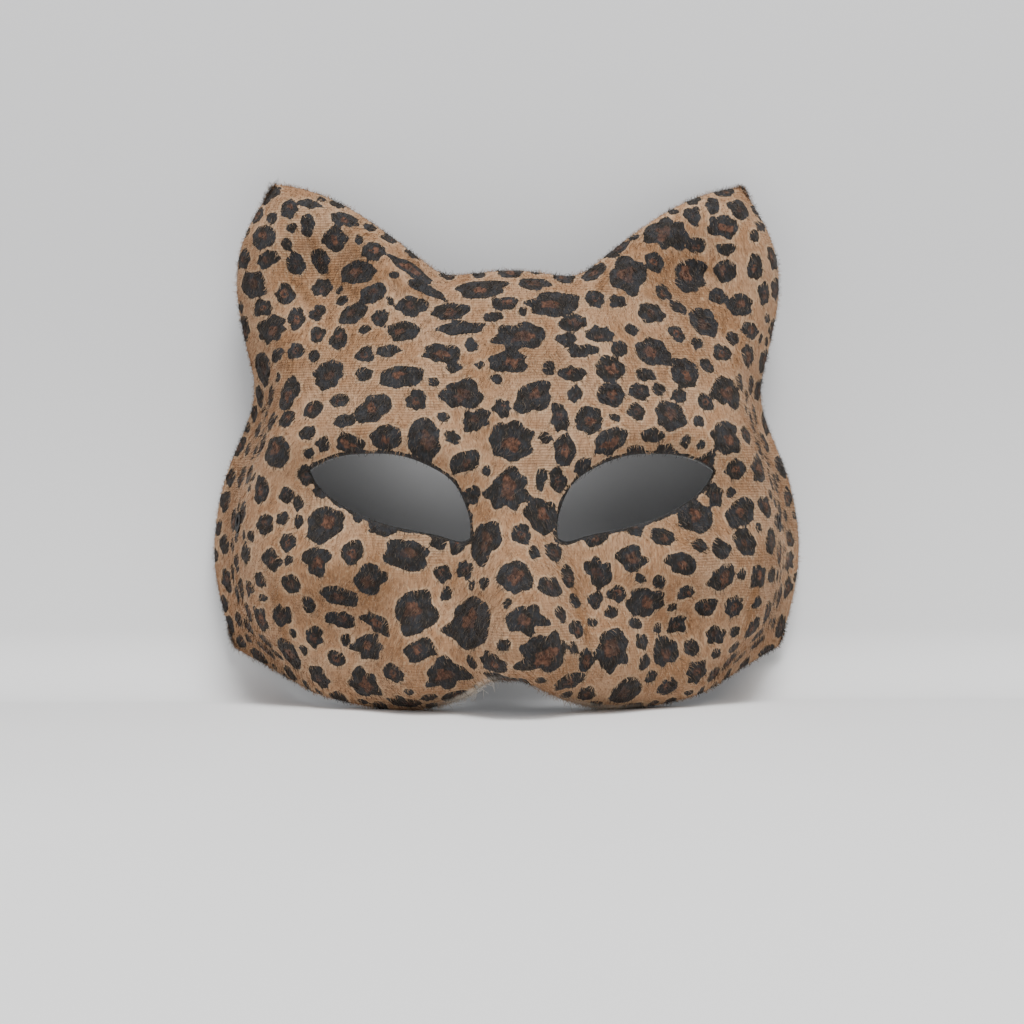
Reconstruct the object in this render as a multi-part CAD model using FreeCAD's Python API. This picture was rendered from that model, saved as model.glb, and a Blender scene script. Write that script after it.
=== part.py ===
"""Cat half mask: a formed shell, its fabric cover, and an eyelet with its washer at each side.

Millimetres, +Z up as worn. +X is the viewer's right, +Y points at the wearer, and the face looks
along -Y. The origin lies in the plane of the rearmost rim, midway between the eyes.
"""

import FreeCAD, Part
import math
import os

# Overall sizes
MASK_WIDTH = 183.0
MASK_TOP = 95.5  # eye level to the ear tips
MASK_BOTTOM = 62.5  # eye level to the lowest edge of the cheeks
FACE_DEPTH = 50.0  # rim plane to the flat of the face, between the eyes

# Sheet thicknesses
SHELL_T = 1.2
COVER_T = 1.0

# Eye openings
EYE_WIDTH = 46.5
EYE_HEIGHT = 25.0
EYE_SPACING = 71.0  # between the two centres
COVER_CUTBACK = 0.45  # bare shell left showing round each opening

# Form of the face: how far each feature stands out, and how wide it spreads
FOREHEAD_LEAN = 20.0
CHEEK_TUCK = 6.0
SIDE_FALL = 18.0
SIDE_FALL_AT = 75.0
NOSE_HEIGHT = 19.5
NOSE_HALF_WIDTH = 14.0
BRIDGE_HALF_WIDTH = 8.0
NOSE_TOP = 16.0
NOSE_ABOVE_EDGE = 8.5
NOSE_LEAN = 2.0  # the nose stands this far off the middle at its tip
BROW_HEIGHT = 3.2
BROW_ABOVE_EYE = 6.0
SOCKET_DEPTH = 3.2
CHEEKBONE_HEIGHT = 4.5
CHEEK_HOLLOW = 4.0
PAD_HEIGHT = 9.0
PAD_ABOVE_EDGE = 16.0
EAR_CUP = 6.5

# Rim: a flared flange and a steep wall at the sides, a short roll everywhere else
RIM_DEPTH = 1.5
FLANGE_FLARE = 0.9
WALL_INSET = 9.0
WALL_BLEND = 2.0
ROLL_DROP = 9.0
ROLL_INSET = 2.0
ROLL_BLEND = 2.2

# Eyelets, one in the middle of each side wall
EYELET_BORE_R = 1.5
EYELET_WALL = 0.4
EYELET_FLANGE_WIDTH = 1.3
EYELET_FLANGE_T = 0.4
EYELET_SET_WIDTH = 0.8  # the inner end is rolled out this far over the washer
EYELET_BELOW_EYE = 8.0
WASHER_T = 0.4
HOLE_CLEARANCE = 0.05
FLANGE_SINK = 0.5  # the flange presses this far into the cover
WASHER_SINK = 0.2  # the shell is faced flat this deep under the washer
SEAT_CLEARANCE = 0.15

# Surface net
NET_COLUMNS = 126
NET_ROWS = 92
NET_MARGIN = 12.0
NET_CROWDING = 1.2  # columns crowd towards the steep sides
PATCHES_ACROSS = 3
PATCHES_UP = 2

# Outline, in shares of the half width and of the height above or below eye level. Each list is one
# smooth stretch, with a corner between two. The first two are mirrored. The lower edge runs from the
# right corner to the left, and the nose in its middle stands a little to the right.
FOREHEAD_AND_EAR = [(0.0, 0.705), (0.13, 0.693), (0.225, 0.694), (0.29, 0.737), (0.38, 0.808),
                    (0.51, 0.9), (0.64, 0.965), (0.785, 1.0)]
EAR_AND_SIDE = [(0.785, 1.0), (0.84, 0.915), (0.898, 0.785), (0.912, 0.645), (0.878, 0.47),
                (0.858, 0.345), (0.893, 0.225), (0.962, 0.06), (0.992, -0.11), (1.0, -0.27),
                (0.985, -0.47), (0.93, -0.755)]
LOWER_EDGE = [(0.93, -0.755), (0.79, -0.86), (0.64, -0.935), (0.48, -0.985), (0.35, -1.0),
              (0.257, -0.987), (0.168, -0.945), (0.085, -0.878), (0.027, -0.838), (-0.035, -0.83),
              (-0.085, -0.845), (-0.115, -0.888), (-0.172, -0.945), (-0.273, -0.989), (-0.38, -1.0),
              (-0.5, -0.98), (-0.64, -0.935), (-0.79, -0.86), (-0.93, -0.755)]
NOSE_NOTCH = slice(5, 13)  # the points of the lower edge that pass under the nose

# Eye opening, in shares of its half width and half height about its centre, from the inner corner
UPPER_LID = [(-0.985, -1.0), (-0.99, -0.62), (-0.93, -0.22), (-0.77, 0.3), (-0.54, 0.6), (-0.1, 0.9),
             (0.3, 0.935), (0.68, 0.85), (1.0, 0.56)]
LOWER_LID = [(1.0, 0.56), (0.87, 0.14), (0.69, -0.14), (0.3, -0.52), (-0.03, -0.72), (-0.4, -0.86),
             (-0.7, -0.99), (-0.87, -1.07), (-0.985, -1.0)]

HALF_WIDTH = MASK_WIDTH / 2
FOREHEAD_TOP = FOREHEAD_AND_EAR[0][1] * MASK_TOP
NOSE_TIP_Z = max(up for _, up in LOWER_EDGE[NOSE_NOTCH]) * MASK_BOTTOM + NOSE_ABOVE_EDGE
FRONT_OF_ALL = -2 * FACE_DEPTH
BACK_OF_ALL = FACE_DEPTH
CUTTER_REACH = 10 * SHELL_T


def smooth(value, start, end):
    """Rises smoothly from 0 at start to 1 at end."""
    t = min(1.0, max(0.0, (value - start) / (end - start)))
    return t * t * (3 - 2 * t)


def step(distance, centre, blend):
    """A soft step from 0 to 1 about centre."""
    return 1 / (1 + math.exp(-(distance - centre) / blend))


def bump(x, z, at_x, at_z, spread_x, spread_z):
    """A rounded bump of height 1."""
    return math.exp(-(((x - at_x) / spread_x) ** 2) - ((z - at_z) / spread_z) ** 2)


def spline(points):
    curve = Part.BSplineCurve()
    curve.interpolate([FreeCAD.Vector(x, 0, z) for x, z in points])
    return curve.toShape()


def outline_point(share, side=1):
    across, up = share
    return side * across * HALF_WIDTH, up * (MASK_TOP if up > 0 else MASK_BOTTOM)


def outline_edges():
    """The mask's outline as a closed run of smooth edges, in the plane y = 0."""
    top = [outline_point(p, -1) for p in reversed(FOREHEAD_AND_EAR)]
    top += [outline_point(p) for p in FOREHEAD_AND_EAR[1:]]
    right = [outline_point(p) for p in EAR_AND_SIDE]
    bottom = [outline_point(p) for p in LOWER_EDGE]
    left = [outline_point(p, -1) for p in reversed(EAR_AND_SIDE)]
    return [spline(part) for part in (top, right, bottom, left)]


def prism(edges, front, back):
    """The solid inside a closed run of edges, from depth front to depth back."""
    face = Part.Face(Part.Wire(Part.__sortEdges__(edges)))
    face.translate(FreeCAD.Vector(0, front, 0))
    return face.extrude(FreeCAD.Vector(0, back - front, 0))


def eye_prism(side, grow):
    """The cutter for one eye opening, larger all round by grow."""
    half_w = EYE_WIDTH / 2 + grow
    half_h = EYE_HEIGHT / 2 + grow
    lids = []
    for lid in (UPPER_LID, LOWER_LID):
        lids.append(spline([(side * (EYE_SPACING / 2 + u * half_w), v * half_h) for u, v in lid]))
    return prism(lids, FRONT_OF_ALL, BACK_OF_ALL)


def rim_chain(edges):
    """The outline as short straight runs."""
    chain = []
    for edge in edges:
        chain.extend(edge.discretize(24)[:-1])
    return [(p.x, p.z) for p in chain]


def inside(chain, x, z):
    result = False
    for i in range(len(chain)):
        x1, z1 = chain[i - 1]
        x2, z2 = chain[i]
        if (z1 > z) != (z2 > z) and x < x1 + (z - z1) * (x2 - x1) / (z2 - z1):
            result = not result
    return result


def rim_distance(chain, x, z):
    """Distance to the rim, rounded off where two stretches of rim are equally near; negative outside."""
    total = 0.0
    for i in range(len(chain)):
        x1, z1 = chain[i - 1]
        x2, z2 = chain[i]
        length = math.hypot(x2 - x1, z2 - z1)
        tx, tz = (x2 - x1) / length, (z2 - z1) / length
        along = (x - x1) * tx + (z - z1) * tz
        off = max(0.02, abs((z - z1) * tx - (x - x1) * tz))
        for s, sign in ((length - along, 1), (-along, -1)):
            total += sign * (s / (2 * off**2 * (off**2 + s**2)) + math.atan(s / off) / (2 * off**3))
    near = (total / (math.pi / 2)) ** (-1 / 3)
    return near if inside(chain, x, z) else -near


def face_form(x, z):
    """Depth of the face from the rim plane, before its rim is turned back."""
    across = abs(x)
    rise = max(0.0, z) / FOREHEAD_TOP
    depth = FACE_DEPTH - 1.25 * FOREHEAD_LEAN * rise**2 / (1 + 0.25 * rise**3)
    depth -= CHEEK_TUCK * (max(0.0, -z - 25.0) / (MASK_BOTTOM - 25.0)) ** 2
    depth -= SIDE_FALL * (across / SIDE_FALL_AT) ** 2.4 * (1 - 0.7 * smooth(z, 45.0, 85.0))

    nose_share = smooth(-z, -NOSE_TOP, -NOSE_TIP_Z)
    nose_x = x - NOSE_LEAN * nose_share
    nose_w = BRIDGE_HALF_WIDTH + (NOSE_HALF_WIDTH - BRIDGE_HALF_WIDTH) * nose_share
    ridge = nose_share * (0.45 + 0.55 * nose_share) - 0.35 * smooth(-z, -NOSE_TIP_Z, MASK_BOTTOM)
    depth += NOSE_HEIGHT * ridge * math.exp(-abs(nose_x / nose_w) ** 2.8)

    brow_z = EYE_HEIGHT / 2 + BROW_ABOVE_EYE - 9.0 * ((across - 44.0) / 30.0) ** 2
    depth += BROW_HEIGHT * math.exp(-((z - brow_z) / 6.5) ** 2) * smooth(across, 4.0, 22.0) * (
        1 - smooth(across, 58.0, 78.0))
    depth -= SOCKET_DEPTH * bump(across, z, EYE_SPACING / 2, 0.0, EYE_WIDTH * 0.5, EYE_HEIGHT * 0.5)
    depth += CHEEKBONE_HEIGHT * bump(across, z, 52.0, -20.0, 17.0, 10.0)
    depth -= CHEEK_HOLLOW * bump(across, z, 47.0, -38.0, 12.0, 9.0)
    depth += PAD_HEIGHT * bump(across, z, 26.0, -MASK_BOTTOM + PAD_ABOVE_EDGE, 12.5, 13.0)
    return depth - EAR_CUP * bump(across, z, 0.62 * HALF_WIDTH, 0.70 * MASK_TOP, 12.0, 14.0)


def depth_at(x, z, rim):
    """Depth of the shell's outer face from the rim plane, at a distance rim inside the outline."""
    form = face_form(x, z)
    side = smooth(abs(x), 0.57 * HALF_WIDTH, 0.88 * HALF_WIDTH)
    side *= 1 - smooth(z, 0.2 * MASK_TOP, 0.62 * MASK_TOP)
    flange = RIM_DEPTH + FLANGE_FLARE * rim
    walled = flange + (form - flange) * step(rim, WALL_INSET, WALL_BLEND)
    rolled = form - ROLL_DROP * (1 - step(rim, ROLL_INSET, ROLL_BLEND))
    return side * walled + (1 - side) * rolled


def slopes(x, z, rim, rim_dx, rim_dz):
    """Change of depth per millimetre across and up."""
    h = 0.5
    across = depth_at(x + h, z, rim + h * rim_dx) - depth_at(x - h, z, rim - h * rim_dx)
    up = depth_at(x, z + h, rim + h * rim_dz) - depth_at(x, z - h, rim - h * rim_dz)
    return across / (2 * h), up / (2 * h)


def outward(slope_x, slope_z):
    """Unit normal of the face, pointing away from the wearer."""
    return FreeCAD.Vector(-slope_x, -1, -slope_z).normalize()


def net_columns():
    reach = HALF_WIDTH + NET_MARGIN
    shares = [2 * i / (NET_COLUMNS - 1) - 1 for i in range(NET_COLUMNS)]
    return [reach * math.sin(NET_CROWDING * s) / math.sin(NET_CROWDING) for s in shares]


def net_rows():
    low, high = -MASK_BOTTOM - NET_MARGIN, MASK_TOP + NET_MARGIN
    return [low + (high - low) * j / (NET_ROWS - 1) for j in range(NET_ROWS)]


def form_net(chain):
    """Points of the shell's outer face and its normals, on a net of columns and rows."""
    xs, zs = net_columns(), net_rows()
    rims = [[rim_distance(chain, x, z) for z in zs] for x in xs]
    net = []
    for i in range(1, len(xs) - 1):
        column = []
        for j in range(1, len(zs) - 1):
            rim_dx = (rims[i + 1][j] - rims[i - 1][j]) / (xs[i + 1] - xs[i - 1])
            rim_dz = (rims[i][j + 1] - rims[i][j - 1]) / (zs[j + 1] - zs[j - 1])
            point = FreeCAD.Vector(xs[i], -depth_at(xs[i], zs[j], rims[i][j]), zs[j])
            column.append((point, outward(*slopes(xs[i], zs[j], rims[i][j], rim_dx, rim_dz))))
        net.append(column)
    return net


def smoothed(points):
    """Control points of the cubic curve through points, for all but the first and the last."""
    return [(8 * b - a - c) / 6 for a, b, c in zip(points, points[1:], points[2:])]


def patch(poles):
    """The smooth face with these control points in columns, without their outermost ring."""
    u_knots = list(range(len(poles) + 4))
    v_knots = list(range(len(poles[0]) + 4))
    surface = Part.BSplineSurface()
    surface.buildFromPolesMultsKnots(poles, [1] * len(u_knots), [1] * len(v_knots), u_knots, v_knots,
                                     False, False, 3, 3)
    surface.segment(3, len(poles), 3, len(poles[0]))
    return surface.toShape()


def sheet_face(net, raise_by):
    """A smooth face through the net's points, each moved outwards by raise_by, in a few patches."""
    points = [[point + normal * raise_by for point, normal in column] for column in net]
    rows = [smoothed(row) for row in zip(*points)]
    poles = [smoothed(column) for column in zip(*rows)]
    u_cuts = [3 + round((len(poles) - 3) * i / PATCHES_ACROSS) for i in range(PATCHES_ACROSS + 1)]
    v_cuts = [3 + round((len(poles[0]) - 3) * j / PATCHES_UP) for j in range(PATCHES_UP + 1)]
    patches = []
    for u_start, u_end in zip(u_cuts, u_cuts[1:]):
        for v_start, v_end in zip(v_cuts, v_cuts[1:]):
            patches.append(patch([column[v_start - 3:v_end] for column in poles[u_start - 3:u_end]]))
    sheet = Part.Shell(patches)
    sheet.sewShape()
    return sheet


def wall_middle(chain, side):
    """Where the middle of the side wall lies at the eyelet's height, and the wall's normal there."""
    z = -EYELET_BELOW_EYE
    low, high = 0.6 * HALF_WIDTH, 1.05 * HALF_WIDTH
    while high - low > 1e-4:
        middle = (low + high) / 2
        if rim_distance(chain, side * middle, z) > WALL_INSET:
            low = middle
        else:
            high = middle
    x, h = side * low, 0.5
    rim = rim_distance(chain, x, z)
    rim_dx = (rim_distance(chain, x + h, z) - rim_distance(chain, x - h, z)) / (2 * h)
    rim_dz = (rim_distance(chain, x, z + h) - rim_distance(chain, x, z - h)) / (2 * h)
    normal = outward(*slopes(x, z, rim, rim_dx, rim_dz))
    return FreeCAD.Vector(x, -depth_at(x, z, rim), z), normal


def turned(profile, centre, axis):
    """The solid of revolution of a closed profile of (radius, height) about an axis through centre."""
    points = [FreeCAD.Vector(r, 0, h) for r, h in profile]
    face = Part.Face(Part.makePolygon(points + points[:1]))
    solid = face.revolve(FreeCAD.Vector(0, 0, 0), FreeCAD.Vector(0, 0, 1), 360)
    solid = Part.Solid(solid.Shells[0]) if solid.ShapeType != "Solid" else solid
    turn = FreeCAD.Rotation(FreeCAD.Vector(0, 0, 1), axis)
    solid.Placement = FreeCAD.Placement(centre, turn)
    return solid


def eyelet_parts(centre, axis):
    """The eyelet, its washer, and the cutters for their seats in the cover and the shell."""
    barrel_r = EYELET_BORE_R + EYELET_WALL
    flange_r = barrel_r + EYELET_FLANGE_WIDTH
    set_r = barrel_r + EYELET_SET_WIDTH
    hole_r = barrel_r + HOLE_CLEARANCE
    top = COVER_T - FLANGE_SINK
    washer_top = WASHER_SINK - SHELL_T
    washer_low = washer_top - WASHER_T
    end = washer_low - EYELET_WALL
    edge = EYELET_FLANGE_T / 3
    face = top + EYELET_FLANGE_T
    eyelet = turned([(EYELET_BORE_R, end), (set_r - edge, end), (set_r, end + edge),
                     (set_r, washer_low), (barrel_r, washer_low), (barrel_r, top),
                     (flange_r, top), (flange_r, face - edge),
                     (flange_r - edge, face), (EYELET_BORE_R, face)], centre, axis)
    washer = turned([(hole_r, washer_low), (flange_r, washer_low), (flange_r, washer_top),
                     (hole_r, washer_top)], centre, axis)
    seat_r = flange_r + SEAT_CLEARANCE
    hole = turned([(0, -CUTTER_REACH), (hole_r, -CUTTER_REACH), (hole_r, CUTTER_REACH),
                   (0, CUTTER_REACH)], centre, axis)
    cover_seat = turned([(0, top), (seat_r, top), (seat_r, CUTTER_REACH), (0, CUTTER_REACH)],
                        centre, axis)
    shell_seat = turned([(0, -CUTTER_REACH), (seat_r, -CUTTER_REACH), (seat_r, washer_top),
                         (0, washer_top)], centre, axis)
    return eyelet, washer, hole, cover_seat, shell_seat


def main():
    os.makedirs("parts", exist_ok=True)
    edges = outline_edges()
    chain = rim_chain(edges)
    net = form_net(chain)
    blank = prism(edges, FRONT_OF_ALL, BACK_OF_ALL)
    faces = [sheet_face(net, raise_by) for raise_by in (COVER_T, 0.0, -SHELL_T)]
    slices = blank.generalFuse(faces)[0].Solids
    slices.sort(key=lambda s: s.CenterOfMass.y)
    cover, shell = slices[1], slices[2]
    for side in (-1, 1):
        cover = cover.cut(eye_prism(side, COVER_CUTBACK))
        shell = shell.cut(eye_prism(side, 0.0))

    pieces = {}
    for name, side in (("left", -1), ("right", 1)):
        eyelet, washer, hole, cover_seat, shell_seat = eyelet_parts(*wall_middle(chain, side))
        cover = cover.cut(hole).cut(cover_seat)
        shell = shell.cut(hole).cut(shell_seat)
        pieces[name + "_eyelet"] = eyelet
        pieces[name + "_eyelet_washer"] = washer
    pieces["leopard_cover"] = cover
    pieces["face_shell"] = shell
    for name, solid in pieces.items():
        solid.exportStep("parts/" + name + ".step")


main()
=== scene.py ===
import math

import bpy
import numpy as np
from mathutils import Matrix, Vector, geometry, noise
from mathutils.bvhtree import BVHTree


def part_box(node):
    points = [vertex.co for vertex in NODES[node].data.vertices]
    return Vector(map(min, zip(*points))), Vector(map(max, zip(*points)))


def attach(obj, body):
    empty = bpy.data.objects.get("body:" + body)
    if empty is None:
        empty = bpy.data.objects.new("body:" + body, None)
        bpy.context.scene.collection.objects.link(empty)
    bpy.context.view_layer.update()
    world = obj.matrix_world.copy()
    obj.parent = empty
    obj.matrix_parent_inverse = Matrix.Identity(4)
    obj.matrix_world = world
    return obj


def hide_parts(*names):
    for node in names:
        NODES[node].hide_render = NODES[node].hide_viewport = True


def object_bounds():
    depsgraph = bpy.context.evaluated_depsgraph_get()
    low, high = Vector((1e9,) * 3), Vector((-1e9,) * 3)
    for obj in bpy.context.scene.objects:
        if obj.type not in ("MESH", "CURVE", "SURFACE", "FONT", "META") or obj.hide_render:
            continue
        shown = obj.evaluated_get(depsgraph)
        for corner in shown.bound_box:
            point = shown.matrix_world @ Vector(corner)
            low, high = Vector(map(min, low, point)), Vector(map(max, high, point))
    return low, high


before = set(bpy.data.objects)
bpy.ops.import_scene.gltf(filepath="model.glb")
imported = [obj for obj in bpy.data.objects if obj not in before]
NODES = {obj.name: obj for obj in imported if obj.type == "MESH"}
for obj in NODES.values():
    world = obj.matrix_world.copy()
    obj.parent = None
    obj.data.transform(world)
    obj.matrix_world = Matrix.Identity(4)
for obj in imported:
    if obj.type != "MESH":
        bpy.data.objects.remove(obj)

CAD_BOX = [list(corner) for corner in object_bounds()]
MM = 0.001
SEED = 20240

# Camera, in millimetres and degrees
CAMERA_AIM = (0.0, -35.0, -5.0)
CAMERA_DISTANCE = 480.0
CAMERA_AZIMUTH = -2.0
CAMERA_LENS = 57.4

# Stage, in millimetres
COVE_START = -18.0  # the floor begins to curve up here, along Y
COVE_RADIUS = 21.0
STAGE_REACH = 1500.0
FLOOR_GAP = 0.1  # floor below the lowest point of the CAD
SHADE_HEIGHT = 150.0  # the backdrop darkens up to this height

# Light: name, place and aim in metres, size, watts, tone
LIGHTS = [
    ("key", (0.25, -0.75, 1.15), (0, -0.05, -0.02), 0.7, 9.2, (1.0, 0.99, 0.97)),
    ("top", (0.08, -0.45, 1.0), (0.08, -0.4, 0), 0.35, 11.0, (1, 1, 1)),
    ("fill", (-0.9, -0.7, 0.5), (0, -0.02, 0), 0.9, 3.0, (0.97, 0.98, 1.0)),
]
WORLD_TONE, WORLD_STRENGTH = (0.84, 0.845, 0.86, 1.0), 0.4

# Cover mesh, in millimetres. Places are across and up, as seen from the front.
PITCH = 0.95
OUTLINE_PITCH = PITCH * 0.9
EYE_PITCH = PITCH * 0.7
LEAST_GAP = 0.56  # least spacing of two points, as a share of the pitch
OUTLINE_RAYS, EYE_RAYS, EYELET_POINTS = 1100, 500, 28
RAY_FROM = 200.0  # rays start this far in front of the rim plane, or behind it
RING_REACH = 14.0  # rows of points follow the rim this far in, where the sides turn back
EYE_REACH = 3.0
RIM_STEP = 0.1
ROW_STEP = 0.3
FACE_CENTRE = (0.0, 20.0)
EYE_CENTRES = ((-35.5, 0.0), (35.5, 0.0))
EYELET_CENTRE = (81.603, -8.0)
EYELET_AXIS = (0.939289, -0.32277, 0.116433)
EYELET_HOLE_R = 3.36
EYELET_CLEAR = 1.14  # no other points this close to an eyelet hole, as a share of its size
SEAT_INSET = 0.15  # the CAD cover has a seat round each eyelet
INSET_STEP = 0.04
CLOTH_THICKNESS = 1.0
RIM_THICKNESS = 0.9
LEAST_THICKNESS = 0.4
MOST_THICKNESS = 9.0  # anything thicker is a ray that missed the shell's near wall
COVER_OFF_SHELL = 0.02

# Small folds of the cloth: ends (across, up), height, half width
FOLDS = [
    ((-31, 72), (-26, 60), 1.1, 1.2), ((-35, 74), (-28, 64), 0.9, 1.1),
    ((-32, 61), (-22, 56), 0.7, 1.3), ((-37, 67), (-31, 58), 0.6, 1.2),
    ((30, 69), (25, 58), 1.0, 1.2), ((36, 63), (27, 54), 0.7, 1.3),
    ((-61, 80), (-52, 60), 0.9, 1.5), ((-54, 67), (-40, 56), 0.8, 1.6),
    ((-47, 75), (-38, 62), 0.6, 1.4), ((-66, 66), (-55, 52), 0.6, 1.6),
    ((42, 79), (46, 63), 1.1, 1.3), ((48, 63), (63, 60), 0.8, 1.5),
    ((52, 74), (67, 65), 0.7, 1.5), ((38, 60), (47, 57), 0.6, 1.2),
    ((58, 58), (66, 47), 0.6, 1.6), ((-72, 50), (-63, 34), 0.7, 1.7),
    ((72, 52), (66, 36), 0.7, 1.7), ((12, -20), (20, -34), 0.6, 1.4),
    ((-14, -18), (-20, -30), 0.5, 1.4), ((17, -30), (22, -46), 0.6, 1.4),
    ((74, -16), (69, -46), 0.7, 1.6), ((-70, -22), (-65, -50), 0.7, 1.6),
    ((-24, -40), (-20, -56), 0.4, 1.5),
]

# Where the pile is brushed up and darker, with painted shade in the ear cups: across, up, spread
# across and up, how much
BRUSHED_AND_SHADED = [
    (-46, 65, 9, 10, 0.9), (-68, 66, 7, 12, 0.5), (-60, 40, 12, 6, 0.5), (50, 63, 12, 9, 0.8),
    (66, 58, 7, 8, 0.5), (-40, -27, 9, 5, 0.5), (34, -24, 12, 4, 0.5), (2, -38, 6, 9, 0.4),
]

# Printed spots, in millimetres: across, up, width, height, and tilt in degrees where there is one
BIG_SPOTS = [
    # forehead
    (2, 46, 17, 9, 6), (-1, 38, 14, 7), (-21, 41, 16, 8, -4), (-32, 34, 12, 7, 3),
    (-14, 29, 12, 9, 8), (6, 28, 13, 8, 35), (-40, 25, 11, 9, -10), (-54, 35, 10, 8, 10),
    (-32, 48, 10, 6, 8), (-15, 49, 14, 4, 4), (-18, 54, 11, 5, 4), (-9, 61, 15, 6, 8),
    (7, 63, 10, 4, -8), (12, 56, 16, 8, 3), (-2, 56, 8, 4, 6), (25, 47, 8, 5, 12),
    (41, 42, 11, 8, -4), (28, 37, 10, 8), (51, 36, 9, 10), (28, 29, 9, 8), (45, 23, 10, 9, -12),
    (22, 21, 8, 8, 15), (13, 22, 5, 8), (64, 31, 9, 10, 20), (-66, 30, 6, 10, -20),
    (-11, 21, 8, 6, 20), (21, 42, 9, 4, 10), (18, 50, 9, 5, 12), (17, 35, 7, 5), (-28, 27, 6, 6),
    (-43, 35, 5, 4), (-43, 41, 6, 5), (18, 29, 4, 5), (37, 30, 6, 5), (31, 43, 5, 5),
    (39, 35, 6, 4), (16, 45, 6, 4), (-36, 42, 8, 4), (-6, 52, 6, 3), (10, 37, 4, 4),
    (-3, 25, 5, 5), (-17, 37, 7, 4, 10), (49, 29, 5, 5), (57, 27, 5, 5), (35, 24, 5, 5),
    (-58, 25, 6, 5), (-66, 22, 5, 5), (-59, 18, 5, 4), (-48, 21, 8, 4), (40, 17, 7, 4),
    # round the eyes and along the bridge
    (-1, 15, 13, 11), (-25, 16, 10, 12, 10), (-36, 16, 9, 7, 5), (-47, 15, 9, 5, -12),
    (-69, 13, 8, 9, -20), (-14, 9, 9, 6, 30), (-2, 2, 12, 12), (14, 13, 6, 9),
    (28, 15, 10, 7, 25), (8, 4, 3, 7, -8), (13, 4, 5, 7), (8, -6, 9, 10), (-8, -14, 8, 12, -8),
    (63, 17, 10, 9, 10), (66, 8, 6, 6), (-12, 0, 4, 6, -30), (2, -11, 5, 6), (20, 8, 4, 6, -30),
    (54, 6, 4, 4), (-60, 6, 5, 6), (-66, 0, 6, 6, 10), (-74, 2, 5, 8), (74, 8, 5, 8),
    (-72, -9, 5, 6), (-62, -3, 4, 6),
    # cheeks
    (-54, -9, 11, 10), (-57, -19, 8, 8), (-46, -16, 6, 7), (-31, -17, 14, 8, -8),
    (-41, -24, 10, 8), (-28, -33, 12, 12), (-50, -29, 10, 6, -5), (-50, -36, 8, 5, -5),
    (-39, -37, 8, 5, -25), (24, -22, 8, 8), (34, -18, 9, 7, -5), (38, -31, 13, 11, -5),
    (48, -20, 10, 6, -10), (53, -6, 11, 10, 15), (67, -5, 10, 9, 20), (68, -14, 8, 8),
    (61, -24, 8, 7), (56, -33, 7, 5), (43, -12, 7, 5), (-38, -10, 8, 4, -15), (-65, -14, 5, 5),
    (-64, -26, 6, 5), (-67, -35, 6, 6), (-59, -32, 4, 5), (-58, -41, 5, 6, -20), (48, -38, 6, 5),
    (60, -41, 6, 5), (65, -33, 6, 6), (73, -24, 5, 7), (50, -28, 5, 4),
    # nose and whisker pads
    (0, -23, 10, 9, 35), (3, -34, 10, 8), (10, -26, 7, 5, 15), (-12, -36, 11, 13),
    (8, -45, 14, 11, 12), (15, -53, 9, 5), (28, -44, 10, 13, -20), (44, -45, 7, 10),
    (32, -57, 9, 8), (-19, -51, 11, 9), (-27, -44, 9, 6, 15), (-42, -44, 9, 7, -10),
    (-43, -55, 9, 8, -15), (-31, -60, 9, 4), (-16, -58, 9, 4, 22), (-6, -47, 8, 5, 8),
    (-66, -47, 7, 8), (54, -52, 6, 7), (11, -16, 5, 5), (-20, -22, 5, 5), (17, -38, 4, 5),
    (20, -47, 5, 7, -20), (-51, -47, 5, 5), (-34, -51, 6, 5), (-2, -54, 13, 3.6), (21, -57, 5, 5),
    (45, -56, 6, 5), (-57, -53, 6, 6, -20), (35, -37, 5, 4),
    # ears
    (-53, 77, 8, 7), (-67, 87, 5, 6), (-75, 78, 8, 8, -20), (-73, 71, 7, 5, 10),
    (-57, 71, 5, 8, 12), (-41, 73, 7, 6, -20), (-46, 67, 11, 7, -12), (-50, 83, 9, 5, -25),
    (-78, 64, 8, 8), (-41, 60, 8, 7), (-47, 54, 9, 7), (-72, 50, 9, 8), (-75, 38, 7, 9),
    (-30, 67, 18, 4, -38), (-26, 61, 16, 3.4, -30), (-29, 56, 9, 6, -15), (-61, 82, 4, 7),
    (-65, 70, 5, 7), (-68, 61, 6, 6), (-57, 62, 6, 6), (-64, 53, 5, 7), (-58, 55, 5, 5),
    (-57, 48, 5, 5), (-51, 46, 5, 7), (-64, 43, 5, 5), (-70, 42, 4, 4), (-75, 57, 6, 5),
    (-39, 52, 5, 5), (-61, 89, 7, 3, -10), (-72, 84, 4, 4), (47, 80, 13, 10, 8), (35, 66, 11, 12),
    (54, 67, 10, 11), (65, 82, 10, 7, -5), (75, 70, 5, 8), (70, 58, 9, 7, 15), (58, 52, 9, 9),
    (41, 54, 8, 7, -10), (43, 70, 6, 6), (25, 67, 9, 4, 50), (32, 75, 8, 5, 38), (65, 68, 7, 7),
    (57, 76, 6, 5), (66, 75, 5, 4), (46, 61, 5, 5), (63, 61, 6, 5), (56, 86, 5, 6),
    (62, 89, 4, 6), (24, 58, 6, 5), (49, 48, 5, 5), (73, 50, 6, 5), (63, 43, 6, 5),
    (72, 42, 5, 7), (31, 57, 5, 4), (50, 56, 5, 4), (70, 88, 6, 7), (78, 62, 4, 7),
]
GAP = 1.35  # tan fabric left round a small spot
BIG_GAP = 0.55  # and between two placed ones
LEAST_SHARE = 0.72  # a placed spot isn't shrunk below this share of its size
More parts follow.
